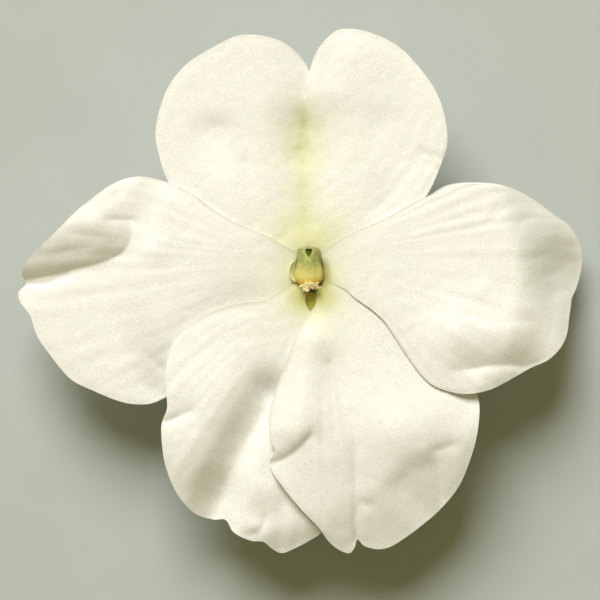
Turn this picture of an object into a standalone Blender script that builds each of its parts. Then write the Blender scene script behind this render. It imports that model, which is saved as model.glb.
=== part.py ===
"""Impatiens flower, as picked: one white busy lizzie blossom lying face up.

The five petals spread in a nearly flat face.  Their claws turn down through a narrow
throat to the receptacle at the top of the flower's stalk.  The cap of joined anthers
closes the throat, over the pistil and on five filaments.  Behind the petals are the two
small side sepals and the boat-shaped lower sepal, which runs out into a long thin spur.
The flower lies on that spur, on the end of its stalk and on the bottom of the boat.

Shapes are given in millimetres from the throat: +X is the flower's right, +Y is towards
the top petal and +Z is out of the face, away from the surface that it lies on.
"""
import math

import bmesh
import bpy
from mathutils import Matrix, Vector

MM = 0.001

# The throat stands here above the origin, which is on the surface, under the middle
# of the flower's outline.
THROAT_PLACE = (0.5, 1.5)
FACE_HEIGHT = 8.6

# The petals: fan-shaped sheets that rise from the mouth of the throat.
PETAL_THICKNESS = 0.32
PETAL_COLUMNS = 28
PETAL_ROWS = 17
ROW_CROWDING = 1.6        # rows lie closer together towards the claw
MOUTH_CENTRE = (0.1, 0.17)
MOUTH_HALF_WIDTH = 0.95
MOUTH_HALF_LENGTH = 1.86
CLAW_DROP = 4.1           # the steep inner part of the funnel
CLAW_REACH = 0.14
BOWL_DROP = 0.6           # the gentle outer part of the funnel
BOWL_REACH = 1.8
DROOP_RADIUS = 22.0       # each petal's droop is how far it falls away at this radius
DROOP_POWER = 3.6
LIFT_START = 0.25         # the petals part into layers this far out from the mouth
LIFT_FULL = 1.6
FADE_IN = 4.0             # a roll comes to its full height over this much of the radius

# The crest under the midrib of the top petal, placed by shares of the petal's length.
KEEL_START = 0.42
KEEL_END = 0.86
KEEL_DEPTH = 0.7
KEEL_END_DEPTH = 0.45     # its depth at both ends, as a share of the depth
KEEL_GRID = (12, 2)
KEEL_THICKNESS = 0.4
KEEL_SINK = 0.02          # its upper edge is this far inside the petal

# The stalk with the receptacle on its end.
STALK_RADIUS = 0.55
RECEPTACLE_HALF_WIDTH = 1.55
RECEPTACLE_TOP = -4.95
RECEPTACLE_HALF_LENGTH = 2.0
RECEPTACLE_STEPS = [(-0.7, 0.55), (-0.4, 0.88), (0.0, 1.0)]  # below its top: share of width
STALK_PATH = [(-7.4, 13.2, -8.05), (-6.0, 10.8, -8.0), (-4.4, 8.2, -7.9), (-2.9, 5.8, -7.8),
              (-1.4, 3.6, -7.6), (-0.3, 1.9, -7.1), (0.1, 0.75, -6.3), (0.1, 0.3, -5.6)]
STALK_RINGS = 14
PART_GAP = 0.1            # between pieces that touch in the real flower

# The lower sepal and its spur.
SEPAL_WALL = 0.3
BOAT_CENTRE_Y = -3.85
BOAT_HALF_WIDTH = 2.5
BOAT_HALF_LENGTH = 2.75
BOAT_RIM_Z = -4.05
BOAT_RIM_TILT = 1.85      # the rim rises towards the lower petals
BOAT_RIM_FLARE = 1.5      # and along both sides
BOAT_BOTTOM_Z = -6.9
SPUR_NECK_RADIUS = 0.72
SPUR_RADIUS = 0.5
SPUR_TIP_RADIUS = 0.28
BOAT_FULLNESS = 2.4
BOAT_LEVELS = (0.0, 0.26, 0.48, 0.68, 0.86)    # of the wall's rings, from rim to neck
SPUR_PATH = [(11.5, -8.8, -8.3), (11.0, -11.6, -8.3), (9.2, -14.2, -8.25),
             (6.3, -15.7, -8.2), (3.2, -15.6, -8.15), (0.6, -14.0, -8.1),
             (-1.0, -11.4, -8.1), (-1.2, -8.6, -8.1), (-0.6, -6.2, -8.1),
             (0.0, -4.4, -7.9), (0.1, -3.85, -6.9)]
SPUR_RINGS = 26
RING_SIDES = 14

# The two small sepals at the sides of the receptacle: pointed ovals, cupped lengthways.
SIDE_SEPAL_LENGTH = 3.6
SIDE_SEPAL_HALF_WIDTH = 1.15
SIDE_SEPAL_THICKNESS = 0.25
SIDE_SEPAL_PLACE = {-1: (-1.75, 0.9, -5.6), 1: (1.95, 0.9, -5.6)}
SIDE_SEPAL_CUP = 0.35
SIDE_SEPAL_RISE = 0.25
SIDE_SEPAL_CURL = -0.06
SIDE_SEPAL_GRID = 8

# The cap of joined anthers: half width and half height from its top end to its foot.
CAP_PROFILE = [(1.97, 0.0, 0.0), (1.96, 0.60, 0.25), (1.92, 0.86, 0.42), (1.75, 0.95, 0.56),
               (1.20, 0.95, 0.72), (0.60, 1.00, 0.84), (-0.05, 1.16, 0.92),
               (-0.55, 1.10, 0.90), (-0.90, 0.93, 0.78), (-1.10, 0.74, 0.56),
               (-1.18, 0.40, 0.30), (-1.20, 0.0, 0.0)]
CAP_BELLY = 0.6           # the underside's height, as a share of the upper side's
CAP_SIDES = 18
CAP_CENTRE = (0.07, 0.0, -0.45)
CAP_TILT = math.radians(4)
CAP_HOLLOW = ((0.0, 0.1, -0.75), (0.7, 0.9, 0.6))    # place and half sizes, in the cap
CAP_EYE = ((0.0, 1.37, 0.75), (0.24, 0.32, 0.4))

# Pistil, filaments and the scales that stand on both sides of the cap.
OVARY_PROFILE = [(0.0, 2.9), (0.12, 2.7), (0.22, 2.3), (0.31, 1.75), (0.36, 1.1),
                 (0.31, 0.45), (0.22, 0.0), (0.0, 0.0)]
OVARY_SIDES = 12
FILAMENT_RADIUS = 0.11
FILAMENT_COUNT = 5
FILAMENT_PROFILE = [(0.60, 0.0), (0.62, 1.0), (0.62, 2.2), (0.56, 3.1), (0.5, 3.62)]
SCALE_SPAN = 75
SCALE_TURN = 8            # towards the fringed end of the cap
SCALE_PATH = {-1: [(0.92, -1.15), (1.35, -0.42), (1.66, 0.15)],    # reach and height
              1: [(0.92, -1.15), (1.18, -0.75), (1.38, -0.38)]}
SCALE_STRETCH = 1.1       # of its length along Y
SCALE_THICKNESS = 0.1
SCALE_GRID = 7

WHITE = (0.96, 0.94, 0.85)
PALE_GREEN = (0.52, 0.58, 0.24)
STALK_GREEN = (0.30, 0.38, 0.12)
POLLEN_YELLOW = (0.70, 0.57, 0.17)


class Fold:
    """A fold of the sheet along a line through points."""

    def __init__(self, points, height, reach):
        self.points = [Vector(point) for point in points]
        self.height = height
        self.reach = reach

    def nearest(self, place):
        """Distance to the line, and its side: 1 square on its left, -1 on its right."""
        found = []
        for start, end in zip(self.points, self.points[1:]):
            along = end - start
            step = (place - start).dot(along) / along.length_squared
            off = place - start - along * min(max(step, 0.0), 1.0)
            side = (along.x * off.y - along.y * off.x) / (along.length * max(off.length, 0.001))
            found.append((off.length, side))
        return min(found)


class Ridge(Fold):
    """Rounded: up if its height is positive."""

    def lift(self, place):
        distance, _ = self.nearest(place)
        return self.height * math.exp(-(distance / self.reach) ** 2)


class Crease(Fold):
    """Sharp: its reach is a pair, for the line's left-hand and right-hand sides."""

    def lift(self, place):
        distance, side = self.nearest(place)
        left, right = self.reach
        return self.height * math.exp(-distance / (right + (left - right) * (1 + side) / 2))


class Roll(Fold):
    """The sheet on the line's left-hand side comes up or down, beyond a radius."""

    def __init__(self, points, height, reach, beyond):
        super().__init__(points, height, reach)
        self.beyond = beyond

    def lift(self, place):
        distance, side = self.nearest(place)
        share = smooth_step(0.0, self.reach, distance * max(side, 0.0))
        return self.height * share * smooth_step(self.beyond, self.beyond + FADE_IN, place.length)


def mouth_arc(first, last):
    """Points along the mouth's rim from one angle to another, in degrees."""
    angles = [math.radians(first + (last - first) * index / 6) for index in range(7)]
    return [(MOUTH_CENTRE[0] + MOUTH_HALF_WIDTH * math.cos(angle),
             MOUTH_CENTRE[1] + MOUTH_HALF_LENGTH * math.sin(angle)) for angle in angles]


# Each petal: the part of the mouth that its claw starts from, clockwise, its outline
# clockwise from one side of the claw to the other (the lower petals leave a slot between
# them), the two points of the outline between its sides and its rim, the height of the
# sides in the pile of petals, its droop and its folds.
PETALS = {
    "petal_top": {
        "claw": mouth_arc(128, 52),
        "outline": [(-4.2, 2.6), (-7.6, 3.9), (-10.3, 6.3), (-11.8, 9.6), (-11.5, 13.4),
                    (-9.2, 16.5), (-5.4, 18.6), (-1.9, 18.0), (0.1, 15.9), (1.9, 18.7),
                    (4.9, 18.8), (8.5, 16.6), (10.7, 12.8), (10.6, 9.0), (9.0, 5.7),
                    (6.4, 3.6), (3.9, 2.6)],
        "corners": ((-10.3, 6.3), (10.6, 9.0)),
        "edges": (-0.45, -0.45),
        "droop": -0.9,
        "folds": [Ridge([(0.1, 16.5), (-0.3, 3.0)], -0.35, 2.2),
                  Ridge([(-1.5, 13.6), (0.4, 13.6)], 0.3, 1.2)],
    },
    "petal_upper_right": {
        "claw": mouth_arc(44, -19),
        "outline": [(4.2, 3.3), (8.8, 5.7), (12.4, 7.0), (16.2, 6.6), (19.3, 4.7),
                    (21.5, 2.6), (21.8, 0.0), (20.9, -2.6), (20.2, -5.3), (18.2, -7.3),
                    (15.0, -8.9), (12.3, -9.6), (9.6, -8.7), (7.4, -5.9), (5.6, -3.4),
                    (3.7, -1.8)],
        "corners": ((12.4, 7.0), (9.6, -8.7)),
        "edges": (0.4, 0.5),
        "droop": 1.0,
        "folds": [Roll([(15.4, 8.0), (16.6, 3.5), (17.4, -1.0), (19.4, -5.0)], -2.9, 4.4, 12.0),
                  Roll([(22.5, 4.4), (17.0, 3.0)], -1.2, 5.0, 16.0),
                  Ridge([(13.9, -0.4), (14.1, -0.4)], 0.3, 1.7),
                  Crease([(10.6, -7.5), (16.4, -7.3), (18.6, -7.0)], -0.9, (1.4, 0.9))],
    },
    "petal_lower_right": {
        "claw": mouth_arc(-25, -56),
        "outline": [(2.9, -1.5), (4.8, -2.5), (8.0, -4.6), (11.4, -6.6), (13.2, -9.4),
                    (13.3, -12.9), (11.8, -16.9), (9.0, -20.0), (6.2, -21.7), (3.9, -21.3),
                    (2.9, -22.1), (0.9, -20.2), (-1.2, -18.0), (-2.9, -15.4), (-3.1, -11.8),
                    (-2.1, -8.0), (-0.8, -4.8), (0.1, -3.4), (0.7, -2.6), (0.72, -2.0)],
        "corners": ((11.4, -6.6), (-2.9, -15.4)),
        "edges": (-0.4, 0.35),
        "droop": 1.0,
        "folds": [Ridge([(9.5, -6.5), (13.0, -8.6)], -1.3, 2.6),
                  Ridge([(0.3, -5.6), (-1.0, -12.2)], 0.42, 1.7),
                  Ridge([(1.0, -13.0), (9.0, -12.0)], 0.5, 3.6),
                  Ridge([(1.8, -7.5), (3.8, -20.5)], -0.2, 0.9),
                  Crease([(-3.2, -15.2), (0.1, -13.0)], -0.35, (0.6, 2.2)),
                  Crease([(11.2, -12.9), (7.3, -14.8), (4.2, -17.4)], -0.5, (2.4, 0.9)),
                  Roll([(13.0, -12.4), (5.8, -16.1), (2.0, -17.8)], -1.1, 6.0, 10.0)],
    },
    "petal_lower_left": {
        "claw": mouth_arc(-121, -154),
        "outline": [(-0.37, -1.9), (-0.26, -2.5), (0.1, -3.2), (0.6, -5.6), (1.0, -8.5),
                    (1.6, -12.5), (1.8, -16.5), (1.2, -19.9), (-1.4, -22.0), (-4.6, -21.2),
                    (-7.4, -19.6), (-9.6, -18.4), (-11.2, -15.4), (-11.4, -12.2),
                    (-11.1, -8.2), (-10.2, -5.2), (-7.4, -3.1), (-4.6, -2.3)],
        "corners": ((1.8, -16.5), (-10.2, -5.2)),
        "edges": (-0.45, 0.3),
        "droop": 0.6,
        "folds": [Ridge([(-7.5, -7.5), (-7.3, -7.5)], 0.6, 4.0),
                  Roll([(-1.0, -9.4), (-8.2, -11.0), (-12.4, -10.5)], -2.4, 8.0, 5.0),
                  Crease([(-3.4, -10.4), (-5.8, -14.4), (-6.3, -19.8)], -0.7, (1.0, 2.4))],
    },
    "petal_upper_left": {
        "claw": mouth_arc(-166, -223),
        "outline": [(-4.4, -3.1), (-6.8, -6.2), (-9.4, -9.0), (-12.5, -10.4),
                    (-15.6, -10.0), (-18.8, -8.4), (-21.0, -5.6), (-22.7, -2.2),
                    (-22.4, 0.2), (-20.8, 2.3), (-17.6, 5.3), (-14.4, 7.3), (-11.2, 7.2),
                    (-7.4, 4.9), (-3.8, 3.0)],
        "corners": ((-9.4, -9.0), (-14.4, 7.3)),
        "edges": (-0.4, 0.35),
        "droop": 1.2,
        "folds": [Roll([(-24.0, -1.0), (-18.6, 0.2), (-14.6, 1.6), (-14.0, 3.8), (-14.6, 5.4)],
                       1.15, 2.2, 10.0),
                  Roll([(-12.0, 9.0), (-16.0, 3.4), (-23.0, 2.6)], -0.6, 4.5, 14.0)],
    },
}


def spline_point(points, share):
    """The point at a share (0 to 1) of the smooth curve through the points."""
    spans = len(points) - 1
    index = min(int(share * spans), spans - 1)
    t = share * spans - index
    near = [Vector(points[min(max(index + step, 0), spans)]) for step in (-1, 0, 1, 2)]
    if index == 0:
        near[0] = near[1] * 2 - near[2]
    if index == spans - 1:
        near[3] = near[2] * 2 - near[1]
    return 0.5 * (2 * near[1] + (near[2] - near[0]) * t
                  + (2 * near[0] - 5 * near[1] + 4 * near[2] - near[3]) * t ** 2
                  + (3 * near[1] - near[0] - 3 * near[2] + near[3]) * t ** 3)


def edge_point(edge, first, last, share):
    """The point at a share of the way along an outline from one of its points to another."""
    step = 1 if last > first else -1
    stops = list(range(first, last + step, step))
    chords = [math.dist(edge[stop], edge[stop + step]) for stop in stops[:-1]]
    way = share * sum(chords)
    place = first
    for chord in chords:
        place += step * min(way / chord, 1.0)
        way = max(way - chord, 0.0)
    return spline_point(edge, place / (len(edge) - 1))


def smooth_step(low, high, value):
    share = min(max((value - low) / (high - low), 0.0), 1.0)
    return share * share * (3 - 2 * share)


def distance_from_mouth(place):
    """How far a place is outside the rim of the mouth, along the ray from its centre."""
    offset = place - Vector(MOUTH_CENTRE)
    ellipse = math.hypot(offset.x / MOUTH_HALF_WIDTH, offset.y / MOUTH_HALF_LENGTH)
    return offset.length * (1 - 1 / max(ellipse, 0.01))


def petal_place(petal, across, outward):
    """A place in the patch between a petal's claw, its rim and its two sides."""
    claw = petal["claw"]
    edge = [claw[0]] + petal["outline"] + [claw[-1]]
    first, last = [edge.index(corner) for corner in petal["corners"]]
    foot = spline_point(claw, across)
    rim = edge_point(edge, first, last, across)
    side = edge_point(edge, 0, first, outward)
    far_side = edge_point(edge, len(edge) - 1, last, outward)
    claw_chord = Vector(claw[0]).lerp(Vector(claw[-1]), across)
    rim_chord = Vector(edge[first]).lerp(Vector(edge[last]), across)
    return (foot.lerp(rim, outward) + side.lerp(far_side, across)
            - claw_chord.lerp(rim_chord, outward))


def petal_surface(petal, across, outward):
    """A point of a petal's middle surface: across and outward run from 0 to 1."""
    place = petal_place(petal, across, outward ** ROW_CROWDING)
    out = distance_from_mouth(place)
    height = -CLAW_DROP * math.exp(-out / CLAW_REACH)
    height -= BOWL_DROP * math.exp(-out / BOWL_REACH)
    height -= petal["droop"] * (place.length / DROOP_RADIUS) ** DROOP_POWER
    low_edge, high_edge = petal["edges"]
    layer = low_edge + (high_edge - low_edge) * smooth_step(0.0, 1.0, across)
    away = smooth_step(LIFT_START, LIFT_FULL, out)
    height += layer * away
    height += sum(fold.lift(place) for fold in petal["folds"]) * away
    return Vector((place.x, place.y, height))


def material(name, colour, roughness):
    finish = bpy.data.materials.new(name)
    finish.use_nodes = True
    shader = finish.node_tree.nodes["Principled BSDF"]
    shader.inputs["Base Color"].default_value = (*colour, 1.0)
    shader.inputs["Roughness"].default_value = roughness
    shader.inputs["Metallic"].default_value = 0.0
    finish.diffuse_color = (*colour, 1.0)
    return finish


def add_object(name, mesh, finish, place=(0.0, 0.0, 0.0)):
    """Put a mesh, drawn in metres about its own origin, at its place in the flower."""
    mesh.materials.append(finish)
    thing = bpy.data.objects.new(name, mesh)
    thing.location = Vector(place) * MM
    thing.parent = flower
    parts.objects.link(thing)
    return thing


def mesh_from(bm, name):
    bmesh.ops.scale(bm, vec=(MM, MM, MM), verts=bm.verts)
    mesh = bpy.data.meshes.new(name)
    bm.to_mesh(mesh)
    bm.free()
    mesh.shade_smooth()
    mesh.set_sharp_from_angle(angle=math.radians(50))
    return mesh


def sheet_mesh(name, surface, columns, rows):
    """A grid whose points are moved to surface(across, outward)."""
    bm = bmesh.new()
    bmesh.ops.create_grid(bm, x_segments=columns, y_segments=rows, size=0.5)
    for point in bm.verts:
        point.co = surface(point.co.x + 0.5, point.co.y + 0.5)
    return mesh_from(bm, name)


def thicken(thing, thickness):
    wall = thing.modifiers.new("wall", "SOLIDIFY")
    wall.thickness = thickness * MM
    wall.offset = 0.0


def loft_mesh(name, rings):
    """A closed skin over rings of points, from the first ring to the last."""
    bm = bmesh.new()
    rows = [[bm.verts.new(point) for point in ring] for ring in rings]
    for row, following in zip(rows, rows[1:]):
        for index in range(len(row)):
            after = (index + 1) % len(row)
            bm.faces.new((row[index], row[after], following[after], following[index]))
    bm.faces.new(rows[0][::-1])
    bm.faces.new(rows[-1])
    return mesh_from(bm, name)


def tube_rings(path, stations):
    """Rings round a path, for pairs of a share of its length and a radius.

    The last ring starts at +X, and each one before it is turned as little as it can be.
    """
    side = Vector((1, 0, 0))
    rings = []
    for share, radius in reversed(stations):
        ahead = (spline_point(path, min(share + 0.01, 1.0))
                 - spline_point(path, max(share - 0.01, 0.0))).normalized()
        side = (side - ahead * side.dot(ahead)).normalized()
        rings.append([spline_point(path, share) + turn * radius
                      for turn in circle_of(side, ahead.cross(side))])
    return rings[::-1]


def circle_of(side, up):
    angles = [2 * math.pi * index / RING_SIDES for index in range(RING_SIDES)]
    return [side * math.cos(angle) + up * math.sin(angle) for angle in angles]


def make_petals():
    white = material("petal_white", WHITE, 0.6)
    for name, petal in PETALS.items():
        mesh = sheet_mesh(name, lambda across, outward: petal_surface(petal, across, outward),
                          PETAL_COLUMNS, PETAL_ROWS)
        thicken(add_object(name, mesh, white), PETAL_THICKNESS)


def add_keel(petal_name):
    """The green crest along the midrib on the back of the top petal."""
    petal = PETALS[petal_name]
    crest = sheet_mesh("keel", lambda along, down: keel_surface(petal, along, down), *KEEL_GRID)
    keel = add_object("keel", crest, bpy.data.materials["petal_white"])
    thicken(keel, KEEL_THICKNESS)
    keel.hide_render = True
    keel.display_type = "WIRE"
    parts.objects.unlink(keel)
    cutters.objects.link(keel)
    boolean(bpy.data.objects[petal_name], keel, "UNION")


def keel_surface(petal, along, down):
    outward = KEEL_START + (KEEL_END - KEEL_START) * along
    top = petal_surface(petal, 0.5, outward)
    swell = KEEL_END_DEPTH + (1 - KEEL_END_DEPTH) * math.sin(math.pi * along)
    depth = KEEL_DEPTH * swell * down
    return top - Vector((0, 0, depth + KEEL_SINK))


def boolean(thing, tool, operation):
    cut = thing.modifiers.new(operation.lower(), "BOOLEAN")
    cut.object = tool
    cut.operation = operation
    cut.solver = "EXACT"


def make_stalk():
    """The stalk, which widens into the receptacle under the throat."""
    stations = [(index / STALK_RINGS, STALK_RADIUS) for index in range(STALK_RINGS + 1)]
    rings = tube_rings(STALK_PATH, stations)
    for below, widen in RECEPTACLE_STEPS:
        rings.append(level_ring(RECEPTACLE_HALF_WIDTH * widen,
                                RECEPTACLE_HALF_LENGTH * widen, RECEPTACLE_TOP + below))
    mesh = loft_mesh("pedicel", rings)
    add_object("pedicel", mesh, material("stalk_green", STALK_GREEN, 0.45))


def level_ring(half_width, half_length, height):
    return [Vector((MOUTH_CENTRE[0] + half_width * turn.x,
                    MOUTH_CENTRE[1] + half_length * turn.y, height))
            for turn in circle_of(Vector((1, 0, 0)), Vector((0, 1, 0)))]


def boat_ring(depth_share, inset):
    """A ring of the boat's wall, from its rim (0) down to its neck (1)."""
    narrow = 1 - depth_share ** BOAT_FULLNESS
    half_width = SPUR_NECK_RADIUS + (BOAT_HALF_WIDTH - SPUR_NECK_RADIUS) * narrow - inset
    half_length = SPUR_NECK_RADIUS + (BOAT_HALF_LENGTH - SPUR_NECK_RADIUS) * narrow - inset
    ring = []
    for turn in circle_of(Vector((1, 0, 0)), Vector((0, 1, 0))):
        rim = BOAT_RIM_Z - BOAT_RIM_TILT * turn.y + BOAT_RIM_FLARE * turn.x ** 2
        height = rim + (BOAT_BOTTOM_Z - rim) * depth_share
        ring.append(Vector((MOUTH_CENTRE[0] + half_width * turn.x,
                            BOAT_CENTRE_Y + half_length * turn.y, height)))
    return ring


def make_lower_sepal():
    """The boat and its spur in one skin: from the spur's tip, over the rim, to inside."""
    stations = []
    for index in range(SPUR_RINGS):
        share = index / SPUR_RINGS
        radius = SPUR_TIP_RADIUS + (SPUR_RADIUS - SPUR_TIP_RADIUS) * share ** 0.6
        radius += (SPUR_NECK_RADIUS - SPUR_RADIUS) * max(7 * share - 6, 0.0)
        stations.append((share, radius))
    rings = tube_rings(SPUR_PATH, stations)
    for share in (1.0, *reversed(BOAT_LEVELS)):
        rings.append(boat_ring(share, 0.0))
    for share in BOAT_LEVELS:
        rings.append(boat_ring(share, SEPAL_WALL))
    mesh = loft_mesh("spurred_sepal", rings)
    add_object("spurred_sepal", mesh, material("sepal_pale_green", PALE_GREEN, 0.5))


def make_side_sepals():
    green = material("sepal_green", STALK_GREEN, 0.5)
    for name, side in (("lateral_sepal_left", -1), ("lateral_sepal_right", 1)):
        mesh = sheet_mesh(name, lambda across, outward: side_sepal_surface(side, across, outward),
                          SIDE_SEPAL_GRID, SIDE_SEPAL_GRID)
        thicken(add_object(name, mesh, green, SIDE_SEPAL_PLACE[side]), SIDE_SEPAL_THICKNESS)


def side_sepal_surface(side, across, outward):
    """A small pointed oval, cupped along its middle."""
    half = SIDE_SEPAL_HALF_WIDTH * math.sin(math.pi * (0.06 + 0.9 * outward)) ** 0.8
    sideways = (across - 0.5) * 2 * half
    reach = SIDE_SEPAL_LENGTH * outward
    height = SIDE_SEPAL_CUP * sideways ** 2 + SIDE_SEPAL_RISE * reach \
        + SIDE_SEPAL_CURL * reach ** 2
    return Vector((side * reach, sideways, height))


def make_pistil():
    """The spindle-shaped pistil: a turned profile from its tip down to its foot."""
    bm = bmesh.new()
    points = [bm.verts.new((radius, 0, height)) for radius, height in OVARY_PROFILE]
    for point, following in zip(points, points[1:]):
        bm.edges.new((point, following))
    mesh = mesh_from(bm, "pistil")
    pistil = add_object("pistil", mesh, material("pistil_green", PALE_GREEN, 0.45),
                        (*MOUTH_CENTRE, RECEPTACLE_TOP + PART_GAP))
    turn = pistil.modifiers.new("turn", "SCREW")
    turn.angle = 2 * math.pi
    turn.axis = "Z"
    turn.steps = OVARY_SIDES
    turn.render_steps = OVARY_SIDES
    turn.use_merge_vertices = True
    turn.merge_threshold = 0.00001


def make_filaments():
    """The five stalks of the stamens, round the pistil, up to the cap."""
    pale = material("filament_pale", PALE_GREEN, 0.5)
    for index in range(FILAMENT_COUNT):
        angle = math.radians(90 + 360 * index / FILAMENT_COUNT)
        curve = bpy.data.curves.new(f"filament_{index + 1}", "CURVE")
        curve.dimensions = "3D"
        curve.bevel_depth = FILAMENT_RADIUS * MM
        curve.bevel_resolution = 1
        curve.use_fill_caps = True
        line = curve.splines.new("POLY")
        line.points.add(len(FILAMENT_PROFILE) - 1)
        for point, (radius, height) in zip(line.points, FILAMENT_PROFILE):
            point.co = (radius * math.cos(angle) * MM, radius * math.sin(angle) * MM,
                        height * MM, 1)
        filament = bpy.data.objects.new(f"filament_{index + 1}", curve)
        filament.location = Vector((*MOUTH_CENTRE, RECEPTACLE_TOP + PART_GAP)) * MM
        filament.parent = flower
        curve.materials.append(pale)
        parts.objects.link(filament)


def make_cap():
    """The hood of joined anthers: hollow below for the stigma, with a small eye above."""
    bm = bmesh.new()
    bmesh.ops.create_uvsphere(bm, u_segments=CAP_SIDES, v_segments=len(CAP_PROFILE) - 1,
                              radius=1.0, matrix=Matrix.Rotation(math.radians(-90), 4, "X"))
    for point in bm.verts:
        share = math.acos(min(max(point.co.y, -1.0), 1.0)) / math.pi
        along, half_width, half_height = spline_point(CAP_PROFILE, share)
        ring = max(math.hypot(point.co.x, point.co.z), 0.001)
        belly = CAP_BELLY if point.co.z < 0 else 1.0
        point.co = (point.co.x / ring * half_width, along,
                    point.co.z / ring * half_height * belly)
    cap = add_object("anther_cap", mesh_from(bm, "anther_cap"),
                     material("anther_yellow", POLLEN_YELLOW, 0.6), CAP_CENTRE)
    cap.rotation_euler.x = -CAP_TILT
    for name, (place, size) in (("cap_hollow", CAP_HOLLOW), ("cap_eye", CAP_EYE)):
        bm = bmesh.new()
        bmesh.ops.create_uvsphere(bm, u_segments=12, v_segments=8, radius=1.0)
        bmesh.ops.scale(bm, vec=size, verts=bm.verts)
        tool = bpy.data.objects.new(name, mesh_from(bm, name))
        tool.location = Vector(place) * MM
        tool.parent = cap
        tool.hide_render = True
        tool.display_type = "WIRE"
        cutters.objects.link(tool)
        boolean(cap, tool, "DIFFERENCE")


def make_scales():
    """The two thin scales of the stamens, one on each side of the cap."""
    pale = material("scale_pale", PALE_GREEN, 0.4)
    for name, side in (("stamen_scale_left", -1), ("stamen_scale_right", 1)):
        mesh = sheet_mesh(name, lambda across, up: scale_surface(side, across, up),
                          SCALE_GRID, SCALE_GRID)
        thicken(add_object(name, mesh, pale, (*MOUTH_CENTRE, 0.0)), SCALE_THICKNESS)


def scale_surface(side, across, up):
    """A strip that leans out from under the cap and follows its side, lower at both ends."""
    angle = math.radians(SCALE_SPAN * (across - 0.5) - SCALE_TURN)
    share = up * (1 - 0.5 * (2 * across - 1) ** 2)
    reach, height = spline_point(SCALE_PATH[side], share)
    return Vector((side * reach * math.cos(angle), SCALE_STRETCH * reach * math.sin(angle),
                   height))


for leftover in list(bpy.data.objects):
    bpy.data.objects.remove(leftover)
parts = bpy.data.collections.new("impatiens_flower")
cutters = bpy.data.collections.new("cutters")
bpy.context.scene.collection.children.link(parts)
bpy.context.scene.collection.children.link(cutters)
flower = bpy.data.objects.new("flower_throat", None)
flower.location = Vector((*THROAT_PLACE, FACE_HEIGHT)) * MM
parts.objects.link(flower)
make_petals()
add_keel("petal_top")
make_stalk()
make_lower_sepal()
make_side_sepals()
make_pistil()
make_filaments()
make_cap()
make_scales()
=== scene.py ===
"""The looks of an impatiens flower: a white blossom that lies face up on a pale floor.

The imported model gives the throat's place and the solids of the small green pieces. Shapes
are in millimetres from the throat, and set_points turns them into metres in the frame.
"""
import math

import bmesh
import bpy
import numpy as np
from mathutils import Matrix, Vector
from mathutils.kdtree import KDTree


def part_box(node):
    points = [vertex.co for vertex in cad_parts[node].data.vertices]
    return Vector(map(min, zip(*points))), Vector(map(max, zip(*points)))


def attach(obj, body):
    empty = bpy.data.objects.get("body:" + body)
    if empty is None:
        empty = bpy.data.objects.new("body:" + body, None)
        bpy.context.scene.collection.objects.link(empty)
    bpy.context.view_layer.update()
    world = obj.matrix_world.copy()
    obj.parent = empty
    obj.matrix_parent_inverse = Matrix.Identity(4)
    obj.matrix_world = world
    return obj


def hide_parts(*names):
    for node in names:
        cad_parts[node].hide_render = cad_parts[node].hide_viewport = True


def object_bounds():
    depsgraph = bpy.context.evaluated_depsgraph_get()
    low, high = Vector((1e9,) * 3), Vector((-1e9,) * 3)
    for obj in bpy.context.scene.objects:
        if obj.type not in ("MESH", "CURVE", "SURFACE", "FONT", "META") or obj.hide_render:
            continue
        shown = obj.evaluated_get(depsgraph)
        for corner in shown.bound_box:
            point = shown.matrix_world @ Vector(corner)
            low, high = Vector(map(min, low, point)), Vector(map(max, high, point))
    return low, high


bl_info = {
    "name": "Impatiens Flower",
    "version": (1, 0, 0),
    "blender": (4, 5, 0),
    "location": "View3D > Sidebar > Impatiens",
    "description": "Builds the fine petals, column, sepals and stalk of a white impatiens flower",
    "category": "Add Mesh",
}

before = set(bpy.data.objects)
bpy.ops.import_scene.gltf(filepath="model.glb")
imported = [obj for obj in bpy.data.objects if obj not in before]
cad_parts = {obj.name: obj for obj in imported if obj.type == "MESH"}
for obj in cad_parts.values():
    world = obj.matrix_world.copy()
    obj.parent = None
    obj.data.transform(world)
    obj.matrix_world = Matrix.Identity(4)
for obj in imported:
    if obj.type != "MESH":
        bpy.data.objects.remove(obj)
CAD_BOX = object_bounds()
MM = 0.001

# The throat, as the model has it: the pistil stands in the middle of the mouth.
MOUTH_CENTRE = (0.1, 0.05)
MOUTH_HALF_WIDTH = 0.92
MOUTH_HALF_LENGTH = 1.60
PISTIL_PLACE = (0.1, 0.17)
PISTIL_FOOT = -4.85

# The funnel and the droop of the face: depths, and how far out from the mouth they reach.
CLAW_DROP = 4.1
CLAW_REACH = 0.07
BOWL_DROP = 0.6
BOWL_REACH = 1.8
DROOP_RADIUS = 22.0
DROOP_POWER = 3.6
LIFT_START = 0.1
LIFT_FULL = 2.6       # where folds reach their full height
LAYERS_APART = 5.0    # where a petal's sides reach their full heights
ROLL_FADE = 4.0       # how far past its inner radius a roll sets in
CREASE_ROUND = 0.12
LINE_STEPS = 6        # steps along a fold's line, for each of its points
EDGE_STEPS = 600      # steps along a petal's edge
PETAL_SPREAD = 1.27   # a petal's width, as a share of the distance from the throat

# The unevenness of a blade: pleats that fan out from the claw, and a crinkle.
PLEATS = 14
PLEAT_CYCLES = (5, 24)
PLEAT_MIDDLE = (0.3, 1.0)
PLEAT_SWAY = 0.6
PLEAT_TURNS = 4
PLEAT_LENGTH = 0.35
PLEAT_SCALE = 3.0
CRINKLE_LENGTHS = (0.9, 3.0)
CRINKLE_SEED = 50

# A blade's faces and its thinning towards the rim and the sides.
ROWS_POWER = 1.35     # rows lie closer near the claw
RIM_ZONE = 0.05
SIDE_ZONE = 0.35
SHARP_ANGLE = math.radians(50)

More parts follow.
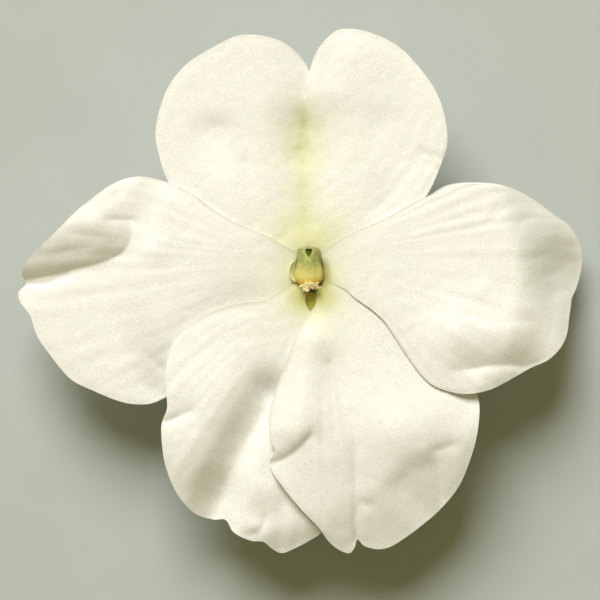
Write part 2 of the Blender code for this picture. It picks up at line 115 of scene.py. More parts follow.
# The keel under the top petal, in shares of the way out and across, and its depth.
KEEL_SPAN = (0.42, 0.86)
KEEL_HALF_SHARE = 0.02
KEEL_DEPTH = 0.7
KEEL_END_DEPTH = 0.45
KEEL_END_ZONE = 0.05


def throat_place():
    low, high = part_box("pistil")
    centre = (low + high) / 2
    return Vector((centre.x - PISTIL_PLACE[0] * MM, centre.y - PISTIL_PLACE[1] * MM,
                   low.z - PISTIL_FOOT * MM))


THROAT = throat_place()


# --- the petals' outlines and folds ------------------------------------------------

def ridge(points, height, width, right_width=None):
    """A rounded fold along a line through the points: up if its height is positive."""
    return {"kind": "ridge", "points": points, "height": height, "left": width,
            "right": right_width or width}


def mouth(first, last):
    """Points along the mouth's rim from one angle to another, in degrees."""
    return [(MOUTH_CENTRE[0] + MOUTH_HALF_WIDTH * math.cos(angle),
             MOUTH_CENTRE[1] + MOUTH_HALF_LENGTH * math.sin(angle))
            for angle in np.radians(np.linspace(first, last, 7))]


def dome(centre, height, upper_width, lower_width=None):
    return ridge([centre, (centre[0] + 0.01, centre[1])], height, upper_width, lower_width)


def crease(points, height, left_width, right_width):
    """A sharp fold whose two sides, seen along the line, fade over their own widths."""
    return {"kind": "crease", "points": points, "height": height, "left": left_width,
            "right": right_width}


def tapered(fold, ends):
    """The same fold, but it comes and goes over a share of its line at both ends."""
    return fold | {"ends": ends}


def roll(points, height, reach, beyond=0.0):
    """The sheet on the line's left-hand side comes up, or down, over the reach, and only
    beyond a radius from the throat."""
    return {"kind": "roll", "points": points, "height": height, "reach": reach,
            "beyond": beyond}


def hinge(points, height, reach, beyond=0.0):
    """Like a roll, but steepest at the line itself."""
    return {"kind": "hinge", "points": points, "height": height, "reach": reach,
            "beyond": beyond}


PETALS = {
    "petal_top": {
        "claw": mouth(128, 50),
        "outline": [
            (-2.4, 1.9), (-4.6, 2.2), (-7.4, 3.4), (-9.9, 5.4), (-11.1, 7.3), (-11.7, 9.1),
            (-12.0, 10.9), (-11.6, 13.0), (-10.9, 14.7), (-9.6, 16.3), (-7.4, 17.7),
            (-5.4, 18.6), (-3.2, 18.5), (-1.7, 17.9), (-0.6, 16.9), (-0.1, 16.2), (0.1, 15.8),
            (0.3, 16.4), (0.6, 17.2), (1.3, 18.2), (2.3, 19.0), (3.5, 19.1), (4.9, 18.8),
            (7.0, 17.8), (8.8, 16.0), (10.2, 13.9), (10.9, 11.4), (10.9, 9.8), (10.4, 8.3),
            (9.4, 6.1), (8.0, 4.4), (5.6, 2.9), (3.4, 2.3), (2.2, 2.0),
        ],
        "corners": ((-11.1, 7.3), (10.4, 8.3)),
        "edges": (-0.44, -0.36),
        "droop": -0.5,
        "folds": [
            ridge([(0.1, 16.5), (-0.3, 11.0), (-0.4, 3.0)], -0.35, 2.2),
            ridge([(0.1, 16.6), (-0.3, 14.4)], -0.08, 0.6),
            dome((-0.4, 11.2), -0.43, 2.0, 3.1),
            tapered(crease([(-0.5, 12.4), (-0.6, 11.0), (-0.5, 7.5)], -0.06, 0.6, 0.6), 0.3),
            dome((-0.7, 9.3), -0.10, 0.6, 1.5),
            dome((-7.2, 11.2), -0.26, 1.0, 2.6),
            crease([(-5.0, 8.6), (-4.5, 5.6), (-3.7, 3.2)], -0.12, 0.35, 0.9),
            ridge([(-6.2, 7.0), (-5.4, 4.4)], 0.10, 1.0),
            ridge([(2.6, 14.5), (3.0, 16.6)], 0.28, 1.8),
            ridge([(6.2, 11.5), (7.0, 8.6), (6.2, 5.5)], -0.20, 1.6),
            crease([(9.2, 9.3), (10.6, 8.9)], -0.10, 0.4, 0.4),
            crease([(9.4, 8.5), (10.5, 7.9)], -0.08, 0.4, 0.4),
        ],
    },
    "petal_upper_right": {
        "claw": mouth(49, -24),
        "outline": [
            (2.3, 2.4), (3.6, 3.1), (6.1, 4.2), (8.8, 5.7), (9.5, 6.0), (10.9, 6.8), (12.6, 7.0),
            (14.9, 6.9), (16.6, 6.4), (18.1, 5.6), (19.5, 4.6), (20.6, 3.9), (21.4, 2.9),
            (21.9, 1.5), (21.8, 0.0), (21.4, -1.3), (21.0, -2.1), (20.9, -2.7), (20.7, -3.8),
            (20.5, -4.9), (20.0, -5.9), (19.0, -6.9), (17.5, -7.6), (15.5, -8.7), (14.2, -9.3),
            (12.4, -9.6), (11.1, -9.4), (9.8, -8.9), (9.0, -8.2), (7.8, -6.6), (6.8, -5.1),
            (5.9, -3.8), (4.9, -2.9), (3.6, -2.0), (2.9, -1.4),
        ],
        "corners": ((12.6, 7.0), (9.8, -8.9)),
        "edges": (0.15, 0.10),
        "droop": 1.0,
        "folds": [
            roll([(13.6, 8.0), (15.4, 3.5), (16.6, -1.0), (18.8, -5.4)], -4.7, 5.7, 10.0),
            roll([(22.5, 4.4), (19.5, 3.2), (17.0, 3.0)], -0.9, 5.0, 16.0),
            dome((19.6, 3.6), 0.45, 2.2),
            dome((13.8, -1.3), 0.10, 0.9),
            ridge([(12.0, -4.9), (15.6, -5.0)], 0.62, 2.5),
            tapered(crease([(13.4, 3.4), (14.6, 4.2), (15.6, 5.4)], -0.09, 0.5, 0.3), 0.4),
            tapered(crease([(15.4, 3.0), (17.0, 3.9), (18.6, 4.6)], -0.09, 0.6, 0.5), 0.4),
            tapered(crease([(16.4, 0.4), (18.4, 1.3), (20.8, 2.2)], -0.08, 0.6, 0.4), 0.4),
            tapered(crease([(17.4, -1.0), (19.4, -0.2), (21.4, 0.9)], -0.08, 0.6, 0.4), 0.4),
            tapered(crease([(18.4, -2.4), (19.8, -1.7), (21.2, -1.0)], -0.10, 0.5, 0.4), 0.4),
            crease([(13.0, -3.5), (15.0, -3.9), (17.2, -3.9)], -0.07, 0.7, 0.3),
            tapered(crease([(10.4, -7.7), (12.0, -7.7), (13.6, -7.5), (15.4, -7.3), (17.0, -7.4),
                            (19.6, -6.5)], -0.30, 1.1, 0.45), 0.35),
        ],
    },
    "petal_lower_right": {
        "claw": mouth(-24, -58),
        "outline": [
            (1.9, -0.6), (3.4, -1.1), (4.8, -1.8), (6.8, -3.1), (8.8, -4.2), (10.8, -5.8),
            (12.4, -7.6), (13.3, -9.5), (13.5, -10.6), (13.3, -12.8), (12.8, -14.7),
            (11.9, -16.9), (10.4, -18.8), (9.0, -20.0), (7.8, -20.9), (6.5, -21.7), (5.6, -21.9),
            (4.4, -21.6), (3.9, -21.1), (3.7, -21.7), (3.3, -22.2), (2.4, -21.9), (1.6, -21.2),
            (0.9, -20.2), (-0.6, -18.6), (-2.0, -16.9), (-2.8, -15.7), (-3.0, -14.9),
            (-2.6, -14.0), (-2.9, -13.3), (-3.1, -11.7), (-2.6, -9.4), (-1.9, -7.7),
            (-1.0, -5.2), (-0.3, -3.9), (0.24, -3.06), (0.52, -2.70), (0.66, -2.30),
            (0.66, -1.80),
        ],
        "corners": ((12.4, -7.6), (-2.8, -15.7)),
        "edges": (-0.18, 0.15),
        "droop": 0.8,
        "folds": [
            ridge([(11.4, -7.4), (13.4, -9.0)], -0.9, 2.0),
            ridge([(0.3, -5.6), (-0.2, -9.0), (-1.0, -12.2)], 0.42, 1.7),
            ridge([(1.0, -13.0), (5.0, -12.5), (9.0, -12.0)], 0.5, 3.6),
            crease([(-3.2, -15.2), (-1.9, -14.7), (-0.9, -14.0), (0.1, -13.0)],
                   -0.34, 0.34, 1.5),
            crease([(1.6, -7.2), (2.9, -10.1), (3.7, -13.0), (3.75, -16.4), (3.8, -21.2)],
                   -0.26, 0.6, 0.7),
            tapered(crease([(3.7, -17.9), (4.6, -18.3), (5.6, -18.1)], -0.10, 0.3, 0.5), 0.3),
            tapered(roll([(12.2, -13.4), (9.8, -13.4), (7.6, -14.2), (6.0, -15.7), (4.4, -17.6)],
                         -0.31, 1.9), 0.3),
            tapered(crease([(12.2, -13.2), (10.8, -13.8), (9.0, -14.2)], -0.22, 0.6, 0.4), 0.4),
            dome((7.6, -12.7), 0.20, 1.8),
            roll([(13.0, -12.4), (9.2, -14.0), (5.8, -16.1), (2.0, -17.8)], -1.05, 6.0, 10.0),
        ],
    },
    "petal_lower_left": {
        "claw": mouth(-118, -158),
        "outline": [
            (-0.20, -1.75), (-0.18, -2.45), (0.0, -2.85), (0.16, -3.08), (0.7, -5.2),
            (1.3, -8.5), (1.8, -12.5), (1.9, -16.4), (1.6, -19.2), (1.0, -20.6), (0.3, -21.1),
            (-1.2, -21.9), (-2.1, -22.2), (-2.9, -21.8), (-3.5, -21.3), (-4.5, -21.2),
            (-5.9, -20.5), (-6.5, -19.6), (-7.5, -19.6), (-8.9, -19.1), (-10.3, -17.5),
            (-11.2, -15.3), (-11.5, -13.4), (-11.5, -11.9), (-11.1, -10.8), (-11.1, -9.8),
            (-11.2, -8.1), (-10.9, -6.4), (-10.2, -5.0), (-8.6, -3.7), (-6.7, -2.8),
            (-5.0, -2.4), (-3.6, -2.3), (-2.6, -1.8),
        ],
        "corners": ((1.9, -16.4), (-10.2, -5.0)),
        "edges": (-0.20, 0.10),
        "droop": 0.6,
        "folds": [
            dome((-6.6, -10.4), 0.5, 3.8),
            roll([(-1.0, -9.4), (-4.4, -10.3), (-8.2, -11.0), (-12.4, -10.5)], -0.6, 8.0, 5.0),
            crease([(-11.9, -11.9), (-10.6, -11.6), (-9.4, -11.0)], -0.28, 0.6, 0.5),
            ridge([(-3.0, -9.9), (-4.4, -12.3), (-5.7, -14.6), (-6.8, -17.2), (-7.6, -19.8)],
                  -1.30, 1.4, 2.0),
            dome((-8.2, -14.9), 0.46, 2.6),
            tapered(ridge([(-5.9, -15.0), (-6.6, -17.2), (-7.4, -19.8), (-8.0, -22.0)],
                          -0.45, 1.3, 1.7), 0.5),
            dome((-3.4, -17.2), 0.26, 1.3),
            crease([(-4.8, -20.8), (-3.7, -20.4), (-3.4, -19.3)], -0.14, 0.3, 0.3),
            dome((-4.3, -20.0), 0.12, 0.5),
            roll([(2.0, -18.9), (-1.0, -19.5), (-3.6, -20.3)], -0.62, 2.6, 10.0),
        ],
    },
    "petal_upper_left": {
        "claw": mouth(-159, -231),
        "outline": [
            (-3.0, -2.3), (-4.6, -3.6), (-6.2, -5.6), (-8.0, -7.6), (-9.6, -9.0), (-11.2, -9.9),
            (-12.5, -10.4), (-14.0, -10.4), (-15.2, -10.1), (-16.9, -9.4), (-18.7, -8.5),
            (-20.5, -6.4), (-21.4, -5.1), (-22.0, -3.4), (-22.8, -2.3), (-22.9, -1.6),
            (-22.3, -0.9), (-22.6, -0.2), (-22.4, 0.5), (-21.6, 1.5), (-19.8, 3.2), (-18.3, 4.7),
            (-16.8, 5.9), (-15.2, 7.0), (-13.4, 7.5), (-11.2, 7.1), (-9.2, 6.2), (-7.3, 4.8),
            (-5.6, 3.8), (-3.2, 2.8), (-2.1, 2.2),
        ],
        "corners": ((-11.2, -9.9), (-13.4, 7.5)),
        "edges": (-0.20, 0.12),
        "droop": 1.2,
        "folds": [
            hinge([(-24.0, -1.0), (-21.8, -0.5), (-20.0, -0.2), (-18.6, 0.2), (-16.2, 0.8),
                   (-14.6, 1.6), (-14.0, 2.6), (-14.0, 3.8), (-14.6, 5.4)], 0.72, 0.85, 10.0),
            roll([(-12.0, 9.0), (-16.0, 5.0), (-24.0, 3.0)], -0.95, 4.2, 12.0),
            crease([(-15.6, 4.1), (-13.9, 4.1)], -0.12, 0.3, 0.4),
            crease([(-22.8, -0.9), (-20.6, -0.9), (-19.2, -0.3)], -0.22, 0.8, 0.3),
            dome((-22.2, -1.7), -0.15, 0.7),
            tapered(crease([(-21.0, 1.4), (-18.4, 1.8), (-16.0, 2.2)], -0.08, 0.4, 0.4), 0.4),
            tapered(crease([(-19.6, 3.2), (-17.6, 2.9), (-15.0, 2.7)], -0.07, 0.4, 0.4), 0.4),
            dome((-17.0, 5.2), -0.14, 0.8),
            dome((-12.1, 1.6), 0.14, 1.0),
            crease([(-12.8, -6.4), (-11.4, -7.8)], -0.06, 0.4, 0.3),
            ridge([(-11.4, -9.0), (-10.2, -6.6), (-7.4, -4.0), (-5.0, -2.9)], -0.36, 1.7),
        ],
    },
}


# --- the shared form of a petal ----------------------------------------------------

def ease(low, high, value):
    share = np.clip((value - low) / (high - low), 0.0, 1.0)
    return share * share * (3 - 2 * share)


def curve_through(points, shares, first=0, last=-1):
    """Places along the smooth curve through the points, from one of them to another."""
    points = np.array(points, float)
    gaps = np.linalg.norm(np.diff(points, axis=0), axis=1) ** 0.5
    knots = np.concatenate([[0.0], np.cumsum(gaps)])
    slopes = np.gradient(points, knots, axis=0)
    where = knots[first] + (knots[last] - knots[first]) * shares
    index = np.clip(np.searchsorted(knots, where, side="right") - 1, 0, len(gaps) - 1)
    span = gaps[index][:, None]
    t = (where - knots[index])[:, None] / span
    return ((2 * t ** 3 - 3 * t ** 2 + 1) * points[index]
            + (t ** 3 - 2 * t ** 2 + t) * span * slopes[index]
            + (3 * t ** 2 - 2 * t ** 3) * points[index + 1]
            + (t ** 3 - t ** 2) * span * slopes[index + 1])


def even_curve(points, shares, first, last):
    """The same curve at even shares of its length."""
    steps = np.linspace(0.0, 1.0, EDGE_STEPS)
    line = curve_through(points, steps, first, last)
    walked = np.concatenate([[0.0], np.cumsum(np.linalg.norm(np.diff(line, axis=0), axis=1))])
    return curve_through(points, np.interp(shares * walked[-1], walked, steps), first, last)


def patch(petal, across, outward):
    """Places between a petal's claw, its rim and its two sides, which blend into each other."""
    claw = petal["claw"]
    edge = [claw[0]] + petal["outline"] + [claw[-1]]
    first, last = [edge.index(corner) for corner in petal["corners"]]
    u, v = across[:, None], outward[:, None]
    foot = curve_through(claw, across)
    rim = even_curve(edge, across, first, last)
    side = even_curve(edge, outward, 0, first)
    far_side = even_curve(edge, outward, -1, last)
    corners = [np.array(edge[index], float) for index in (0, -1, first, last)]
    flat = ((1 - v) * ((1 - u) * corners[0] + u * corners[1])
            + v * ((1 - u) * corners[2] + u * corners[3]))
    return (1 - v) * foot + v * rim + (1 - u) * side + u * far_side - flat


def along_line(points, x, y):
    """Distance to a smooth line, its side (1 on its left, -1 on its right) and the share
    of the line that has gone by."""
    line = curve_through(points, np.linspace(0.0, 1.0, LINE_STEPS * len(points)))
    best = np.full(x.shape, 1e9)
    side = np.zeros(x.shape)
    gone = np.zeros(x.shape)
    for index, ((ax, ay), (bx, by)) in enumerate(zip(line, line[1:])):
        dx, dy = bx - ax, by - ay
        length = math.hypot(dx, dy)
        share = np.clip(((x - ax) * dx + (y - ay) * dy) / length ** 2, 0.0, 1.0)
        off_x, off_y = x - ax - share * dx, y - ay - share * dy
        distance = np.hypot(off_x, off_y)
        turn = (dx * off_y - dy * off_x) / (length * np.maximum(distance, 1e-6))
        nearer = distance < best
        best = np.where(nearer, distance, best)
        side = np.where(nearer, turn, side)
        gone = np.where(nearer, (index + share) / (len(line) - 1), gone)
    return best, side, gone


def fold_height(fold, x, y):
    distance, side, gone = along_line(fold["points"], x, y)
    height = fold["height"]
    if fold.get("ends"):
        height = height * ease(0.0, fold["ends"], gone) * ease(0.0, fold["ends"], 1 - gone)
    if fold["kind"] in ("roll", "hinge"):
        past = distance * np.maximum(side, 0.0) / fold["reach"]
        share = ease(0.0, 1.0, past) if fold["kind"] == "roll" else 1 - np.exp(-past)
        start = fold["beyond"]
        return height * share * ease(start, start + ROLL_FADE, np.hypot(x, y))
    width = fold["right"] + (fold["left"] - fold["right"]) * 0.5 * (1 + side)
    if fold["kind"] == "ridge":
        return height * np.exp(-(distance / width) ** 2)
    return height * np.exp(-(np.hypot(distance, CREASE_ROUND) - CREASE_ROUND) / width)


def rough_sheet(x, y, seed, shortest, longest, count=36):
    """A gentle unevenness: a fixed sum of waves that run in all directions."""
    draw = np.random.RandomState(seed)
    total = np.zeros(x.shape)
    for _ in range(count):
        length = shortest * (longest / shortest) ** draw.rand()
        angle = draw.rand() * 2 * math.pi
        turn = draw.rand() * 2 * math.pi
        total += np.sin(2 * math.pi / length * (x * math.cos(angle) + y * math.sin(angle)) + turn)
    return total / math.sqrt(count / 2)


def pleats(across, outward, seed):
    """Fine folds that fan out from the claw and fade in and out on their way."""
    draw = np.random.RandomState(seed)
    total = np.zeros(across.shape)
    for _ in range(PLEATS):
        cycles = draw.uniform(*PLEAT_CYCLES)
        turn = draw.rand() * 2 * math.pi
        middle = draw.uniform(*PLEAT_MIDDLE)
        sway = draw.uniform(-PLEAT_SWAY, PLEAT_SWAY)
        total += np.sin(2 * math.pi * cycles * across + turn + sway * PLEAT_TURNS * outward) \
            * np.exp(-((outward - middle) / PLEAT_LENGTH) ** 2) / math.sqrt(cycles / 8)
    return total / PLEAT_SCALE


def petal_places(petal, seed, across, outward, settings):
    """Points of a petal's middle surface, in millimetres from the throat."""
    x, y = patch(petal, across, outward).T
    off_x, off_y = x - MOUTH_CENTRE[0], y - MOUTH_CENTRE[1]
    ellipse = np.hypot(off_x / MOUTH_HALF_WIDTH, off_y / MOUTH_HALF_LENGTH)
    out = np.hypot(off_x, off_y) * (1 - 1 / np.maximum(ellipse, 0.01))
    height = -CLAW_DROP * np.exp(-out / CLAW_REACH) - BOWL_DROP * np.exp(-out / BOWL_REACH)
    height -= petal["droop"] * (np.hypot(x, y) / DROOP_RADIUS) ** DROOP_POWER
    low_edge, high_edge = petal["edges"]
    away = ease(LIFT_START, LIFT_FULL, out)
    height += (low_edge + (high_edge - low_edge) * ease(0.0, 1.0, across)) \
        * ease(LIFT_START, LAYERS_APART, out)
    for fold in petal["folds"]:
        height += fold_height(fold, x, y) * away
    fan = ease(0.1, 1.0, outward)
    crinkle = rough_sheet(x, y, seed + CRINKLE_SEED, *CRINKLE_LENGTHS)
    height += settings.pleat_depth / MM * fan * pleats(across, outward, seed)
    height += settings.crinkle_depth / MM * away * crinkle
    return np.stack([x, y, height], axis=1)


# --- settings ----------------------------------------------------------------------

def length_setting(name, description, default, low, high):
    return bpy.props.FloatProperty(name=name, description=description, default=default * MM,
                                   min=low * MM, max=high * MM, unit="LENGTH", precision=5)


def colour_setting(name, description, default):
    return bpy.props.FloatVectorProperty(name=name, description=description, default=default,
                                         size=3, min=0.0, max=1.0, subtype="COLOR")


class ImpatiensPetalSettings(bpy.types.PropertyGroup):
    thickness: length_setting("Thickness", "Thickness of a petal's blade", 0.13, 0.05, 0.3)
    rim_share: bpy.props.FloatProperty(
        name="Rim share", description="Thickness at the rim, as a share of the blade's",
        default=0.3, min=0.1, max=1.0, subtype="FACTOR")
    columns: bpy.props.IntProperty(
        name="Columns", description="Faces across a petal", default=210, min=20, max=260)
    rows: bpy.props.IntProperty(
        name="Rows", description="Faces from the claw to the rim", default=120, min=12, max=180)
    pleat_depth: length_setting("Pleat depth", "Depth of the fine folds that fan out",
                                0.022, 0.0, 0.12)
    crinkle_depth: length_setting("Crinkle depth", "Depth of the blade's slight unevenness",
                                  0.006, 0.0, 0.06)
    blade: colour_setting("Blade", "White of the blade", (0.945, 0.93, 0.885))
    throat: colour_setting("Throat", "Yellow-green round the mouth", (0.72, 0.72, 0.33))
    slot_tint: colour_setting("Slot tint", "Green of the claws on both sides of the slot",
                              (0.51, 0.51, 0.15))
    rib: colour_setting("Rib", "Green of the top petal's midrib", (0.64, 0.62, 0.30))


class ImpatiensColumnSettings(bpy.types.PropertyGroup):
    cap_top: colour_setting("Cap top", "Green of the cap's back", (0.275, 0.285, 0.11))
    cap_stripe: colour_setting("Cap stripe", "Deeper green down the middle of the cap's back",
                               (0.285, 0.33, 0.04))
    cap_middle: colour_setting("Cap middle", "Yellow of the anthers", (0.71, 0.61, 0.195))
    cap_edge: colour_setting("Cap edge", "Orange-yellow along the opened anthers",
                             (0.88, 0.61, 0.11))
    cap_eye: colour_setting("Cap eye", "Dark green of the small hollow in the cap",
                            (0.085, 0.12, 0.012))
    pollen: colour_setting("Pollen", "Cream of the pollen", (1.0, 0.84, 0.46))


class ImpatiensGreenSettings(bpy.types.PropertyGroup):
    sepal: colour_setting("Lower sepal", "Pale green of the boat and its spur", (0.66, 0.70, 0.42))
    stalk: colour_setting("Stalk", "Green of the stalk and side sepals", (0.36, 0.45, 0.16))


class ImpatiensStageSettings(bpy.types.PropertyGroup):
    floor: colour_setting("Floor", "Colour of the surface that the flower lies on",
                          (0.50, 0.53, 0.51))
    key_power: bpy.props.FloatProperty(
        name="Key power", description="Power of the soft lamp beyond the top petal",
        default=16.2, min=0.0, unit="POWER")
    sky: bpy.props.FloatProperty(
        name="Sky", description="Strength of the even light from all round", default=0.245,
        min=0.0, max=2.0)
    view_width: length_setting("View width", "Width of the camera's view at the face",
                               47.15, 10, 500)


# --- meshes ------------------------------------------------------------------------

def deselect_all():
    if bpy.context.mode != "OBJECT":
        bpy.ops.object.mode_set(mode="OBJECT")
    bpy.ops.object.select_all(action="DESELECT")


def take_new(name):
    thing = bpy.context.active_object
    thing.name = name
    thing.data.name = name
    return thing


def add_object(name, data):
    thing = bpy.data.objects.new(name, data)
    bpy.context.scene.collection.objects.link(thing)
    return thing


def new_grid(name, faces, size=1.0):
    deselect_all()
    bpy.ops.mesh.primitive_grid_add(x_subdivisions=faces[0], y_subdivisions=faces[1],
                                    size=size)
    return take_new(name)


def get_points(mesh):
    points = np.zeros(len(mesh.vertices) * 3, np.float32)
    mesh.vertices.foreach_get("co", points)
    return points.reshape(-1, 3).astype(float)


def set_points(mesh, places):
    """Moves a mesh's points to places in millimetres from the throat."""
    world = np.asarray(places) * MM + np.array(THROAT)
    mesh.vertices.foreach_set("co", world.astype(np.float32).ravel())
    mesh.update()


def apply_modifier(thing, modifier):
    deselect_all()
    thing.select_set(True)
    bpy.context.view_layer.objects.active = thing
    bpy.ops.object.modifier_apply(modifier=modifier.name)


def add_wall(thing, thickness):
    wall = thing.modifiers.new("wall", "SOLIDIFY")
    wall.thickness = thickness
    apply_modifier(thing, wall)


def add_attribute(mesh, name, values):
    layer = mesh.attributes.new(name, "FLOAT", "POINT")
    layer.data.foreach_set("value", np.asarray(values, np.float32))


def shade_smooth(thing):
    thing.data.shade_smooth()


def finish_piece(thing, finish, slot, *nodes):
    thing.data.materials.clear()
    thing.data.materials.append(finish)
    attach(thing, "root")
    if nodes:
        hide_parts(*nodes)


def petal_piece(name, seed, settings):
    """One fine petal: a grid drawn out into the fan, given its wall and thin rim."""
    thing = new_grid(name + "_blade", (settings.columns, settings.rows))
    flat = get_points(thing.data) + 0.5
    across, outward = flat[:, 0], flat[:, 1] ** ROWS_POWER
    places = petal_places(PETALS[name], seed, across, outward, settings)
    set_points(thing.data, places)
    tint_petal(thing.data, name, seed, across, outward, places)
    side_zone = RIM_ZONE + SIDE_ZONE * (1 - outward) ** 2
    thinning = ease(0.0, RIM_ZONE, 1 - outward) * ease(0.0, 1.0, across / side_zone) \
        * ease(0.0, 1.0, (1 - across) / side_zone)
    group = thing.vertex_groups.new(name="blade")
    for index, weight in enumerate(thinning):
        group.add([index], float(weight), "REPLACE")
    wall = thing.modifiers.new("wall", "SOLIDIFY")
    wall.thickness = settings.thickness
    wall.offset = 0.0
    wall.vertex_group = group.name
    wall.thickness_vertex_group = settings.rim_share
    apply_modifier(thing, wall)
    thing.vertex_groups.clear()
    if name == "petal_top":
        lower_keel(thing.data, across, outward)
    shade_smooth(thing)
    thing.data.set_sharp_from_angle(angle=SHARP_ANGLE)
    return thing


def lower_keel(mesh, across, outward):
    """Draws the underside down into the keel along the top petal's midrib."""
    first, last = KEEL_SPAN
    along = (outward - first) / (last - first)
    swell = KEEL_END_DEPTH + (1 - KEEL_END_DEPTH) * np.sin(math.pi * np.clip(along, 0.0, 1.0))
    drop = KEEL_DEPTH * swell * ease(0.0, KEEL_END_ZONE, along) \
        * ease(0.0, KEEL_END_ZONE, 1 - along) \
        * ease(1.0, 0.4, np.abs(across - 0.5) / KEEL_HALF_SHARE)
    points = get_points(mesh)
    half = len(drop)
    under = slice(0, half) if points[:half, 2].mean() < points[half:, 2].mean() \
        else slice(half, None)
    points[under, 2] -= drop * MM
    mesh.vertices.foreach_set("co", points.astype(np.float32).ravel())
    mesh.update()


# Where the blades are tinted, in millimetres from the throat.
HALO_CENTRE = (MOUTH_CENTRE[0], MOUTH_CENTRE[1] - 0.6)
HALO_START = 1.2
HALO_FADE = 1.5
SLOT_MIDDLE = (0.3, -1.95)
SLOT_HALF_WIDTH = 0.5
SLOT_FADE_LEFT = 1.2
SLOT_FADE_RIGHT = 1.45
SLOT_HALF_LENGTH = 1.25
CAP_SHADE_CURVE = (1.40, 0.12, -0.3)     # its place in x, its bend and the bend's middle
CAP_SHADE_HALF = 0.42
# Half width of the painted shade along a petal's side rims, in millimetres.
SIDE_RIM_SHADE_WIDTH = 0.16
RIB_LINE = [(-0.45, 13.6), (-0.4, 3.0)]
RIB_BANDS = [(0.40, 0.45), (0.25, 1.6)]  # strength and half width
RIB_SPOTS = [(0.60, (-0.3, 11.4), (1.7, 2.0)),
             (0.30, (0.6, 9.9), (3.8, 2.2))]  # strength, middle and half widths
RIB_FOOT = (0.5, 3.6)                    # strength and half width, by the throat
# Strength and half width of the throat's green over the top petal's base, partly painted shade.
THROAT_GREEN_AND_SHADE = (0.85, 3.2)
RIB_GLOW = (0.45, 1.5)
VEINS = 11
VEIN_MIDDLES = (0.06, 0.94)              # in shares of the way across, as the next two are
VEIN_SWAY = 0.03
VEIN_WIDTH = 0.006
VEIN_TURNS = (2, 6)
VEIN_SEED = 7


def band(strength, half_width, distance):
    return strength * np.exp(-(distance / half_width) ** 2)


def rib_tint(x, y):
    """The green along the top petal's midrib, and how it joins the green of the mouth; over the
    petal's base that green is laid on strongly, partly as painted shade.
    """
    distance, _, _ = along_line(RIB_LINE, x, y)
    rib = sum(band(strength, width, distance) for strength, width in RIB_BANDS)
    for strength, (spot_x, spot_y), (wide, high) in RIB_SPOTS:
        rib = rib + band(strength, 1.0, np.hypot((x - spot_x) / wide, (y - spot_y) / high))
    rib = rib * ease(16.0, 12.5, y) + band(*RIB_FOOT, x) * ease(8.0, 2.2, y)
    # The throat's green over the top petal's base is partly painted shade.
    glow = np.maximum(band(*THROAT_GREEN_AND_SHADE, x) * ease(7.0, 2.2, y),
                      band(*RIB_GLOW, x + 0.3) * ease(13.0, 9.0, y))
    return rib, glow


def tint_petal(mesh, name, seed, across, outward, places):
    """Where the blade is tinted: round the mouth, along the top petal's rib, in veins; and where
    shade is painted on it: beside the cap, along its side rims and, in part, over the top petal's
    base.
    """
    x, y = places[:, 0], places[:, 1]
    reach = np.hypot(x - HALO_CENTRE[0], (y - HALO_CENTRE[1]) * 0.8)
    near = np.exp(-np.maximum(reach - HALO_START, 0) / HALO_FADE)
    aside = np.maximum(np.abs(x - SLOT_MIDDLE[0]) - SLOT_HALF_WIDTH, 0) \
        / np.where(x > SLOT_MIDDLE[0], SLOT_FADE_RIGHT, SLOT_FADE_LEFT)
    slot_side = np.exp(-aside ** 2 - ((y - SLOT_MIDDLE[1]) / SLOT_HALF_LENGTH) ** 2)
    shade_x, bend, bend_y = CAP_SHADE_CURVE
    cap_shade = band(1.0, CAP_SHADE_HALF, x - shade_x + bend * (y - bend_y) ** 2) \
        * ease(1.6, 0.5, y) * ease(-1.8, -0.9, y)
    rib = np.zeros(len(x))
    if name == "petal_top":
        rib, glow = rib_tint(x, y)
        near = np.maximum(near, glow)
    draw = np.random.RandomState(seed + VEIN_SEED)
    veins = np.zeros(len(x))
    for _ in range(VEINS):
        middle = draw.uniform(*VEIN_MIDDLES)
        sway = draw.uniform(-VEIN_SWAY, VEIN_SWAY)
        line = middle + sway * np.sin(outward * draw.uniform(*VEIN_TURNS))
        veins += band(1.0, VEIN_WIDTH, across - line) * ease(1.05, 0.3, outward)
    to_side = np.minimum(across, 1 - across) * np.hypot(x, y) * PETAL_SPREAD
    # Painted shade: a darker, warmer band along the side rims near the claw.
    side_rim_shade = band(1.0, SIDE_RIM_SHADE_WIDTH, to_side) * ease(1.0, 0.55, outward)
    for layer, values in (("mouth", near), ("slot_side", slot_side), ("cap_shade", cap_shade),
                          ("rib", rib), ("veins", np.clip(veins, 0, 1)),
                          ("side_rim_shade", side_rim_shade)):
        add_attribute(mesh, layer, values)


# --- materials ---------------------------------------------------------------------

# Light that soaks in: its weight, its reach in red, green and blue, and their scale.
PETAL_GLOW = (0.12, (1.0, 0.9, 0.65), 0.5 * MM)
TISSUE_GLOW = (0.1, (0.6, 0.9, 0.3), 0.4 * MM)
CAP_GLOW = (0.3, (0.9, 0.8, 0.3), 0.45 * MM)
POLLEN_GLOW = (0.7, (1.0, 0.8, 0.5), 0.3 * MM)

# Colours laid over the blade's white and the pollen's cream.
SPECKLE = (1.0, 0.99, 0.93)
CAP_SHADE = (0.37, 0.325, 0.085)
# Painted shade along the petals' side rims.
SIDE_RIM_SHADE = (0.58, 0.49, 0.33)
# Painted shade between the pollen's lumps.
POLLEN_RECESS_SHADE = (0.86, 0.56, 0.28)

# Plant tissue: its colour, its darker patches, and how many grains go to the metre.
FILAMENT_TISSUE = ((0.84, 0.82, 0.56), (0.72, 0.72, 0.42), 5000)
PISTIL_TISSUE = ((0.40, 0.50, 0.18), (0.30, 0.40, 0.12), 5000)
